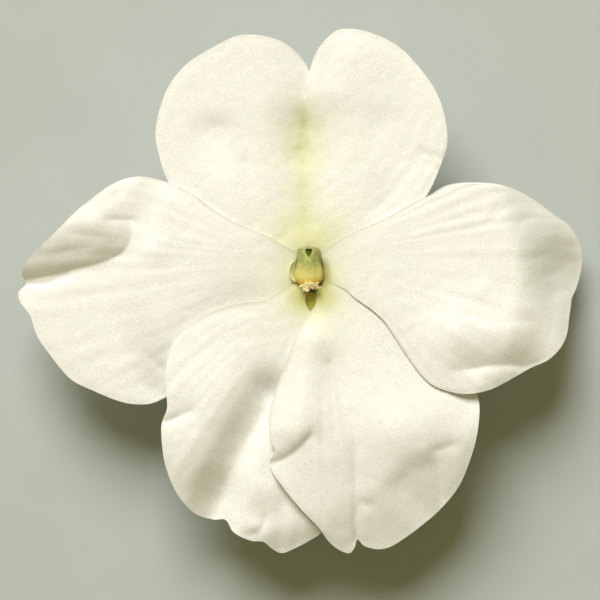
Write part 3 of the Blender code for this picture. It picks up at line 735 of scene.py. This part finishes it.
# The right stamen scale's tissue, darkened to an olive as painted shade beside the cap.
SHADED_SCALE_TISSUE = ((0.60, 0.55, 0.22), (0.50, 0.46, 0.16), 5000)
TROUGH_TISSUE = ((0.56, 0.53, 0.085), (0.46, 0.44, 0.065), 3500)
GREEN_GRAIN = 2600

# The other grains, in grains to the metre.
BLADE_CLOUDS = 450
BLADE_GRAIN = 7000
BLADE_CELLS = 7500
BLADE_WRINKLES = 3000
RIB_PATCHES = 1500
TISSUE_PATCHES = 900
CAP_CLOUDS = 3000
CAP_GRAIN = 6000
POLLEN_CLOUDS = 5000
POLLEN_GRAIN = 14000
FLOOR_CLOUDS = 120


class Finish:
    """A Principled material and the few kinds of node that the flower's finishes use."""

    def __init__(self, name, roughness, specular=0.4):
        self.material = bpy.data.materials.new(name)
        self.material.use_nodes = True
        self.tree = self.material.node_tree
        self.shader = self.tree.nodes["Principled BSDF"]
        self.shader.inputs["Roughness"].default_value = roughness
        self.shader.inputs["Specular IOR Level"].default_value = specular
        coordinates = self.tree.nodes.new("ShaderNodeTexCoord")
        self.place = coordinates.outputs["Object"]

    def add(self, kind, inputs, **properties):
        """A new node, its inputs linked to other nodes' outputs or set to values."""
        node = self.tree.nodes.new("ShaderNode" + kind)
        for name, value in properties.items():
            setattr(node, name, value)
        for name, value in inputs.items():
            if isinstance(value, bpy.types.NodeSocket):
                self.tree.links.new(value, node.inputs[name])
            else:
                node.inputs[name].default_value = value
        return node

    def glow_through(self, weight, radius, scale):
        """Light that soaks into the tissue and comes out beside where it went in."""
        self.shader.inputs["Subsurface Weight"].default_value = weight
        self.shader.inputs["Subsurface Radius"].default_value = radius
        self.shader.inputs["Subsurface Scale"].default_value = scale

    def attribute(self, name):
        return self.add("Attribute", {}, attribute_name=name).outputs["Fac"]

    def noise(self, scale, detail=3.0, roughness=0.5):
        return self.add("TexNoise", {"Scale": scale, "Detail": detail, "Roughness": roughness,
                                     "Vector": self.place}).outputs["Fac"]

    def cells(self, scale):
        node = self.add("TexVoronoi", {"Scale": scale, "Vector": self.place})
        return node.outputs["Distance"]

    def spread(self, value, low, high, to_low=0.0, to_high=1.0):
        return self.add("MapRange", {"From Min": low, "From Max": high, "To Min": to_low,
                                     "To Max": to_high, "Value": value}).outputs["Result"]

    def math(self, operation, first, second):
        return self.add("Math", {0: first, 1: second}, operation=operation).outputs[0]

    def blend(self, share, first, second):
        """A colour between two, each a colour or another node's output."""
        first, second = [value if isinstance(value, bpy.types.NodeSocket) else (*value, 1.0)
                         for value in (first, second)]
        return self.add("Mix", {0: share, 6: first, 7: second}, data_type="RGBA").outputs[2]

    def tint(self, colour, name, share, second):
        """The colour, blended with a second one where an attribute of the mesh is high."""
        return self.blend(self.math("MULTIPLY", self.attribute(name), share), colour, second)

    def colour(self, output):
        self.tree.links.new(output, self.shader.inputs["Base Color"])

    def bump(self, height, strength, distance):
        node = self.add("Bump", {"Strength": strength, "Distance": distance, "Height": height})
        self.tree.links.new(node.outputs["Normal"], self.shader.inputs["Normal"])


def petal_finish(settings):
    """White petal tissue: a fine grain of raised cells, faint veins, a tinted throat, and painted
    shade beside the cap and along the side rims.
    """
    finish = Finish("petal_white", 0.5, 0.35)
    finish.glow_through(*PETAL_GLOW)
    blade = Vector(settings.blade)
    cloud = finish.spread(finish.noise(BLADE_CLOUDS, 3.0), 0.35, 0.7)
    colour = finish.blend(cloud, blade, blade * 0.97)
    grain = finish.noise(BLADE_GRAIN, 2.0, 0.6)
    colour = finish.blend(finish.spread(grain, 0.50, 0.66, 0.0, 0.7), colour, SPECKLE)
    colour = finish.blend(finish.spread(grain, 0.50, 0.32, 0.0, 0.5), colour, blade * 0.8)
    colour = finish.tint(colour, "veins", 0.10, blade * 0.82)
    colour = finish.tint(colour, "mouth", 0.85, tuple(settings.throat))
    colour = finish.tint(colour, "slot_side", 0.9, tuple(settings.slot_tint))
    colour = finish.tint(colour, "cap_shade", 0.85, CAP_SHADE)
    # Painted shade along the side rims.
    colour = finish.tint(colour, "side_rim_shade", 0.45, SIDE_RIM_SHADE)
    patches = finish.spread(finish.noise(RIB_PATCHES, 2.0), 0.35, 0.65, 0.42, 0.66)
    finish.colour(finish.tint(colour, "rib", patches, tuple(settings.rib)))
    cells = finish.math("MULTIPLY", finish.cells(BLADE_CELLS), 0.7)
    wrinkles = finish.noise(BLADE_WRINKLES, 3.0, 0.6)
    finish.bump(finish.math("ADD", cells, wrinkles), 0.5, 0.02 * MM)
    finish.shader.inputs["Sheen Weight"].default_value = 0.08
    finish.shader.inputs["Sheen Roughness"].default_value = 0.4
    return finish.material


def tissue_finish(name, colour, darker, grains):
    """Green plant tissue: long cells, paler and darker patches and a soft gloss."""
    finish = Finish(name, 0.45)
    finish.glow_through(*TISSUE_GLOW)
    patches = finish.spread(finish.noise(TISSUE_PATCHES, 4.0), 0.35, 0.65)
    base = Vector(colour)
    tone = finish.blend(patches, base, Vector(darker))
    grain = finish.noise(grains, 2.0, 0.6)
    tone = finish.blend(finish.spread(grain, 0.45, 0.7, 0.0, 0.4), tone, base * 1.12)
    finish.colour(tone)
    finish.bump(finish.math("ADD", finish.cells(grains), grain), 0.35, 0.03 * MM)
    return finish.material


def cap_finish(settings):
    """The joined anthers: green behind, yellow in front, orange along the opened edge."""
    finish = Finish("anther_tissue", 0.5, 0.35)
    finish.glow_through(*CAP_GLOW)
    back = finish.tint(tuple(settings.cap_top), "stripe", 0.8, tuple(settings.cap_stripe))
    colour = finish.blend(finish.attribute("front"), back, tuple(settings.cap_middle))
    colour = finish.blend(finish.attribute("brim"), colour, tuple(settings.cap_edge))
    clouds = finish.spread(finish.noise(CAP_CLOUDS, 3.0), 0.4, 0.7, 0.0, 0.35)
    colour = finish.blend(clouds, colour, Vector(settings.cap_middle) * 1.15)
    eye = finish.attribute("eye")
    finish.colour(finish.blend(eye, colour, tuple(settings.cap_eye)))
    finish.tree.links.new(finish.spread(eye, 0.0, 1.0, 0.35, 0.0),
                          finish.shader.inputs["Specular IOR Level"])
    finish.bump(finish.noise(CAP_GRAIN, 3.0, 0.6), 0.5, 0.03 * MM)
    return finish.material


def pollen_finish(settings):
    """Cream pollen, with painted shade in orange-brown between its lumps."""
    finish = Finish("pollen_cream", 0.8, 0.2)
    finish.glow_through(*POLLEN_GLOW)
    pollen = Vector(settings.pollen)
    clouds = finish.spread(finish.noise(POLLEN_CLOUDS, 2.0), 0.35, 0.65)
    colour = finish.blend(clouds, pollen, (pollen.x, pollen.y * 0.90, pollen.z * 0.8))
    # Painted shade between the lumps.
    finish.colour(finish.blend(finish.attribute("recess_shade"), colour, POLLEN_RECESS_SHADE))
    finish.bump(finish.noise(POLLEN_GRAIN, 2.0), 0.5, 0.01 * MM)
    return finish.material


def floor_finish(settings):
    finish = Finish("floor_pale", 0.9, 0.1)
    floor = Vector(settings.floor)
    clouds = finish.spread(finish.noise(FLOOR_CLOUDS, 4.0), 0.3, 0.7)
    finish.colour(finish.blend(clouds, floor, floor * 0.96))
    return finish.material


# --- the column and the pieces behind the face -------------------------------------

CAP_TOP = 0.52
CAP_TILT = math.radians(4)
CAP_PROFILE = [  # from the top end to the fringed one: place along, half width, half height
    (1.97, 0.0, 0.0), (1.95, 0.55, 0.25), (1.87, 0.80, 0.42), (1.68, 0.91, 0.56),
    (1.20, 0.95, 0.72), (0.60, 1.00, 0.84), (-0.05, 1.16, 0.92), (-0.55, 1.10, 0.90),
    (-0.88, 0.88, 0.78), (-1.08, 0.68, 0.56), (-1.18, 0.36, 0.30), (-1.20, 0.0, 0.0)]
CAP_WIDEST = 6           # the widest place in the profile, which gives the top's height
CAP_UNDERSIDE = 0.35     # height of the underside, as a share of the top's
CAP_MIDDLE_X = 0.07
CAP_FACES = 128
SEAM_DEPTH = 0.05        # the seams between the joined anthers, as a share of the radius
EYE_PLACE = (0.0, 1.37)
EYE_HALF = (0.25, 0.33)
EYE_DEPTH = 0.28

# The frill of pollen under the cap, and the crumbs on it.
FRILL_FACES = (110, 50)
FRILL_MIDDLE = 0.05
FRILL_HALF = 0.83
FRILL_TOP = 0.86
FRILL_UPPER_ROW = (-0.90, -0.32)     # its place, and how far the bow drops at its ends
FRILL_LOWER_ROW = -1.28
FRILL_LEFT_LOBE = (0.38, -0.34, 0.42)    # length, middle and half width
FRILL_RIGHT_LOBE = (0.14, 0.78, 0.18)
FRILL_TEETH = ((0.05, 17, 1), (0.04, 41, 0))     # length, closeness and shift
FRILL_WALL = 0.09 * MM
FRILL_CELL = 0.018
LUMP_LENGTHS = (0.14, 0.42)
LUMP_DEPTH = 0.028
FRAY_LENGTHS = (0.2, 0.5)
FRAY_ASIDE = 0.035
FRAY_ALONG = 0.05
FRILL_SEEDS = (31, 32, 33)
CRUMBS = 45
CRUMB_SEED = 23
CRUMB_RADIUS = (0.035, 0.065)
CRUMB_LIFT = 0.06
CRUMB_STRETCH = ((0.6, 1.0), (0.9, 1.9), (0.5, 1.0))

# The trough under the slot.
TROUGH_FACES = (16, 30)
TROUGH_TOP = (0.22, -1.62, -0.62)
TROUGH_LENGTH = 1.85
TROUGH_HALF_WIDTHS = (0.36, 0.76)
TROUGH_SAG = 0.25
TROUGH_RISE = 0.05
TROUGH_WALL = 0.1 * MM

# How the green pieces and the filaments are made finer than their solids.
MERGE_DISTANCE = 0.002 * MM
JOIN_ANGLE = math.radians(25)
JOIN_SHAPE_ANGLE = math.radians(60)
SMOOTH_LEVELS = 2


def cap_shape(points):
    """The hood: flat and wide on top, widest below its middle, with a blunt lower end."""
    x, y, z = points.T
    ring = np.maximum(np.hypot(x, z), 1e-6)
    share = np.arccos(np.clip(y, -1.0, 1.0)) / math.pi
    along, wide, high = curve_through(CAP_PROFILE, share).T
    side, front = x / ring, z / ring
    turn = np.arctan2(z, x) - math.pi / 2
    seams = 1 - SEAM_DEPTH * np.abs(np.sin(2.5 * turn)) ** 6 * (1 - y * y)
    lower_half = np.where(front < 0, CAP_UNDERSIDE, 1.0)
    return np.stack([np.maximum(wide, 0) * side * seams, along,
                     np.maximum(high, 0) * front * seams * lower_half], axis=1)


def heart(x, y):
    """1 inside a small heart, 0 outside, with a soft edge."""
    across = x / EYE_HALF[0]
    up = (y - EYE_PLACE[1]) / EYE_HALF[1]
    radius = across ** 2 + (1.15 * up - 0.75 * np.sqrt(np.abs(across) + 0.02)) ** 2
    return ease(1.25, 0.75, radius)


def anther_cap_piece():
    """The cap: a sphere drawn into the hood, with a heart-shaped hollow in its back."""
    deselect_all()
    bpy.ops.mesh.primitive_uv_sphere_add(segments=CAP_FACES, ring_count=CAP_FACES, radius=1.0,
                                         rotation=(math.pi / 2, 0, 0))
    thing = take_new("anther_hood")
    bpy.ops.object.transform_apply(location=True, rotation=True, scale=True)
    shaped = cap_shape(get_points(thing.data))
    x, y, z = shaped.T
    eye = heart(x, y) * ease(0.0, 0.3, z)
    shaped[:, 2] -= EYE_DEPTH * eye
    set_points(thing.data, tilt_cap(shaped))
    add_attribute(thing.data, "front", ease(0.85 - 0.5 * np.exp(-(x / 0.4) ** 2), -0.5, y))
    add_attribute(thing.data, "brim", ease(-0.45, -0.85, y))
    add_attribute(thing.data, "stripe", np.exp(-(x / 0.42) ** 2) * ease(1.7, 1.1, y))
    add_attribute(thing.data, "eye", eye)
    shade_smooth(thing)
    return thing


def tilt_cap(points):
    """Tilts the cap's points, the fringed end upwards, and puts them in place."""
    cosine, sine = math.cos(-CAP_TILT), math.sin(-CAP_TILT)
    x, y, z = points.T
    return np.stack([x + CAP_MIDDLE_X, y * cosine - z * sine, y * sine + z * cosine + CAP_TOP
                     - CAP_PROFILE[CAP_WIDEST][2]], axis=1)


def frill_rows(across):
    """Where the frill starts and ends: a bow above, two torn lobes below beside the slot."""
    place, bow = FRILL_UPPER_ROW
    length, middle, half = FRILL_LEFT_LOBE
    left = band(length, half, across - middle) * ease(0.12, -0.05, across)
    length, middle, half = FRILL_RIGHT_LOBE
    right = band(length, half, across - middle)
    teeth = sum(length * np.sin(closeness * across + shift)
                for length, closeness, shift in FRILL_TEETH)
    return place + bow * across ** 2, FRILL_LOWER_ROW - left - right + teeth


def frill_height(across, drop):
    return FRILL_TOP * np.sqrt(1 - 0.45 * across ** 2) * (1 - 0.12 * drop)


def fuse_skin(thing, cell, attribute):
    """Turns a mesh that cuts itself into one closed skin of small cells, in millimetres, and
    gives each new point the attribute of the nearest old one."""
    mesh = thing.data
    mesh.transform(Matrix.Scale(1 / MM, 4))
    known = KDTree(len(mesh.vertices))
    for point in mesh.vertices:
        known.insert(point.co, point.index)
    known.balance()
    values = [item.value for item in mesh.attributes[attribute].data]
    skin = thing.modifiers.new("skin", "REMESH")
    skin.mode = "VOXEL"
    skin.voxel_size = cell
    apply_modifier(thing, skin)
    add_attribute(mesh, attribute, [values[known.find(point.co)[1]] for point in mesh.vertices])
    mesh.transform(Matrix.Scale(MM, 4))


def pollen_piece():
    """The frayed lower edge of the cap: a torn, lumpy frill that hangs over the slot."""
    thing = new_grid("pollen_fringe", FRILL_FACES)
    flat = get_points(thing.data)
    across, drop = 2 * flat[:, 0], 0.5 - flat[:, 1]
    upper, lower = frill_rows(across)
    x = FRILL_MIDDLE + FRILL_HALF * across
    y = upper + (lower - upper) * drop
    lump_seed, aside_seed, along_seed = FRILL_SEEDS
    lumps = rough_sheet(x, y, lump_seed, *LUMP_LENGTHS)
    height = frill_height(across, drop) + LUMP_DEPTH * lumps
    x += FRAY_ASIDE * rough_sheet(x, y, aside_seed, *FRAY_LENGTHS)
    y += FRAY_ALONG * rough_sheet(x, y, along_seed, *FRAY_LENGTHS)
    set_points(thing.data, tilt_cap(np.stack([x, y, height], axis=1)))
    # Where the lumps dip, which takes painted shade.
    add_attribute(thing.data, "recess_shade", ease(0.2, -1.3, lumps))
    add_wall(thing, FRILL_WALL)
    fuse_skin(thing, FRILL_CELL, "recess_shade")
    shade_smooth(thing)
    return thing


def crumb_piece():
    """Loose crumbs of pollen on the frill."""
    draw = np.random.RandomState(CRUMB_SEED)
    crumbs = bmesh.new()
    for _ in range(CRUMBS):
        across, drop = draw.uniform(-0.95, 0.95), draw.uniform(0.05, 1.0)
        upper, lower = frill_rows(np.array([across]))
        centre = tilt_cap(np.array([[FRILL_MIDDLE + FRILL_HALF * across,
                                     upper[0] + (lower[0] - upper[0]) * drop,
                                     frill_height(across, drop)
                                     + draw.uniform(0.0, CRUMB_LIFT)]]))[0]
        grown = bmesh.ops.create_icosphere(crumbs, subdivisions=1,
                                           radius=draw.uniform(*CRUMB_RADIUS))
        turn = Matrix.Rotation(draw.uniform(0, 2 * math.pi), 3, "Z")
        stretch = Vector([draw.uniform(*span) for span in CRUMB_STRETCH])
        for point in grown["verts"]:
            point.co = Vector(centre) + turn @ (point.co * stretch)
    mesh = bpy.data.meshes.new("pollen_crumbs")
    crumbs.to_mesh(mesh)
    crumbs.free()
    thing = add_object(mesh.name, mesh)
    set_points(mesh, get_points(mesh))
    shade_smooth(thing)
    return thing


def spur_mouth_piece():
    """The green trough under the slot, where the boat-shaped sepal leads into the spur."""
    thing = new_grid("spur_mouth", TROUGH_FACES)
    flat = get_points(thing.data)
    side, down = 2 * flat[:, 0], flat[:, 1] + 0.5
    top_x, top_y, top_z = TROUGH_TOP
    narrow, wide = TROUGH_HALF_WIDTHS
    places = np.stack([top_x + (narrow + (wide - narrow) * down) * side,
                       top_y - TROUGH_LENGTH * down,
                       top_z - TROUGH_SAG * (1 - side ** 2) - TROUGH_RISE * (1 - down)], axis=1)
    set_points(thing.data, places)
    add_wall(thing, TROUGH_WALL)
    shade_smooth(thing)
    return thing


def smooth_piece(node, name, finish, slot):
    """A finer copy of a model's solid: merged, made of larger faces, and subdivided."""
    thing = add_object(name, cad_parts[node].data.copy())
    thing.data.name = name
    drawn = bmesh.new()
    drawn.from_mesh(thing.data)
    bmesh.ops.remove_doubles(drawn, verts=drawn.verts, dist=MERGE_DISTANCE)
    bmesh.ops.join_triangles(drawn, faces=drawn.faces, angle_face_threshold=JOIN_ANGLE,
                             angle_shape_threshold=JOIN_SHAPE_ANGLE)
    drawn.to_mesh(thing.data)
    drawn.free()
    finer = thing.modifiers.new("finer", "SUBSURF")
    finer.levels = SMOOTH_LEVELS
    finer.render_levels = SMOOTH_LEVELS
    apply_modifier(thing, finer)
    shade_smooth(thing)
    finish_piece(thing, finish, slot, node)


# --- operators ---------------------------------------------------------------------

class ImpatiensPetals(bpy.types.Operator):
    """Build the five fine petals"""
    bl_idname = "impatiens.petals"
    bl_label = "Petals"

    def execute(self, context):
        settings = context.scene.impatiens_petals
        finish = petal_finish(settings)
        for seed, name in enumerate(PETALS):
            finish_piece(petal_piece(name, seed + 1, settings), finish, "petal", name)
        return {"FINISHED"}


class ImpatiensColumn(bpy.types.Operator):
    """Build the anther cap with its pollen, the stamens' scales, filaments and pistil"""
    bl_idname = "impatiens.column"
    bl_label = "Column"

    def execute(self, context):
        settings = context.scene.impatiens_column
        finish_piece(anther_cap_piece(), cap_finish(settings), "anther", "anther_cap")
        pollen = pollen_finish(settings)
        finish_piece(pollen_piece(), pollen, "anther")
        finish_piece(crumb_piece(), pollen, "anther")
        pale = tissue_finish("filament_tissue", *FILAMENT_TISSUE)
        green = tissue_finish("pistil_tissue", *PISTIL_TISSUE)
        olive = tissue_finish("scale_tissue_in_painted_shade", *SHADED_SCALE_TISSUE)
        for node in ("stamen_scale_left", "filament_1", "filament_2", "filament_3",
                     "filament_4", "filament_5"):
            smooth_piece(node, node + "_fine", pale, "filament")
        # The right scale takes the darker olive as painted shade.
        smooth_piece("stamen_scale_right", "stamen_scale_right_fine", olive, "filament")
        smooth_piece("pistil", "pistil_fine", green, "pistil")
        return {"FINISHED"}


class ImpatiensGreens(bpy.types.Operator):
    """Build the boat-shaped sepal with its spur, the side sepals and the stalk"""
    bl_idname = "impatiens.greens"
    bl_label = "Sepals and Stalk"

    def execute(self, context):
        settings = context.scene.impatiens_greens
        sepal, stalk = Vector(settings.sepal), Vector(settings.stalk)
        boat = tissue_finish("lower_sepal_tissue", sepal, sepal * 0.85, GREEN_GRAIN)
        green = tissue_finish("stalk_tissue", stalk, stalk * 0.8, GREEN_GRAIN)
        smooth_piece("spurred_sepal", "lower_sepal", boat, "lower_sepal")
        olive = tissue_finish("spur_mouth_tissue", *TROUGH_TISSUE)
        finish_piece(spur_mouth_piece(), olive, "lower_sepal")
        for side in ("left", "right"):
            smooth_piece("lateral_sepal_" + side, "side_sepal_" + side, green, "side_sepal")
        smooth_piece("pedicel", "stalk", green, "stalk")
        return {"FINISHED"}


class ImpatiensStage(bpy.types.Operator):
    """Set up the pale floor, the soft light and the camera that looks straight down"""
    bl_idname = "impatiens.stage"
    bl_label = "Stage"

    def execute(self, context):
        settings = context.scene.impatiens_stage
        make_floor(settings)
        make_light(settings)
        make_camera(settings)
        return {"FINISHED"}


# The stage, in metres, with the lamp's place from the throat.
FLOOR_SIZE = 1.2
FLOOR_GAP = 0.02 * MM
SKY_COLOUR = (1.0, 0.91, 0.36, 1.0)
LAMP_SIZE = 0.75
LAMP_COLOUR = (1.0, 0.995, 0.99)
LAMP_PLACE = (-0.22, 0.77, 0.82)
LENS = 266.0
SENSOR = 36.0
CLIP_START = 0.01
VIEW_CENTRE = (-0.63, -2.21)     # in millimetres from the throat


def make_floor(settings):
    floor = new_grid("floor", (2, 2), FLOOR_SIZE)
    floor.location.z = CAD_BOX[0][2] - FLOOR_GAP
    floor.data.materials.append(floor_finish(settings))


def make_light(settings):
    """An even sky and one large soft lamp, behind the top petal and a little to the left."""
    world = bpy.data.worlds.new("soft_sky")
    bpy.context.scene.world = world
    world.use_nodes = True
    background = world.node_tree.nodes["Background"]
    background.inputs["Color"].default_value = SKY_COLOUR
    background.inputs["Strength"].default_value = settings.sky
    lamp = bpy.data.lights.new("key", "AREA")
    lamp.shape = "DISK"
    lamp.size = LAMP_SIZE
    lamp.energy = settings.key_power
    lamp.color = LAMP_COLOUR
    key = add_object("key", lamp)
    key.location = THROAT + Vector(LAMP_PLACE)
    aim = THROAT - key.location
    key.rotation_euler = aim.to_track_quat("-Z", "Y").to_euler()


def make_camera(settings):
    """A long lens straight above the face, as far off as the view's width asks."""
    view = bpy.data.cameras.new("camera")
    view.lens = LENS
    view.sensor_width = SENSOR
    view.clip_start = CLIP_START
    camera = add_object("camera", view)
    distance = settings.view_width * view.lens / view.sensor_width
    camera.location = THROAT + Vector((VIEW_CENTRE[0] * MM, VIEW_CENTRE[1] * MM, distance))
    bpy.context.scene.camera = camera
    bpy.context.scene.view_settings.view_transform = "Standard"


class ImpatiensPanel(bpy.types.Panel):
    """The flower's pieces and the sizes and colours that they use"""
    bl_idname = "VIEW3D_PT_impatiens"
    bl_label = "Impatiens Flower"
    bl_space_type = "VIEW_3D"
    bl_region_type = "UI"
    bl_category = "Impatiens"

    def draw(self, context):
        for operator, group, _ in STEPS:
            box = self.layout.box()
            box.operator(operator.bl_idname)
            settings = getattr(context.scene, group)
            for name in settings.bl_rna.properties.keys():
                if name not in ("name", "rna_type"):
                    box.prop(settings, name)


STEPS = (
    (ImpatiensPetals, "impatiens_petals", ImpatiensPetalSettings),
    (ImpatiensColumn, "impatiens_column", ImpatiensColumnSettings),
    (ImpatiensGreens, "impatiens_greens", ImpatiensGreenSettings),
    (ImpatiensStage, "impatiens_stage", ImpatiensStageSettings),
)


def register():
    for operator, group, settings in STEPS:
        bpy.utils.register_class(settings)
        setattr(bpy.types.Scene, group, bpy.props.PointerProperty(type=settings))
        bpy.utils.register_class(operator)
    bpy.utils.register_class(ImpatiensPanel)


def unregister():
    bpy.utils.unregister_class(ImpatiensPanel)
    for operator, group, settings in reversed(STEPS):
        bpy.utils.unregister_class(operator)
        delattr(bpy.types.Scene, group)
        bpy.utils.unregister_class(settings)


def main():
    register()
    bpy.ops.impatiens.petals()
    bpy.ops.impatiens.column()
    bpy.ops.impatiens.greens()
    bpy.ops.impatiens.stage()


if __name__ == "__main__":
    main()
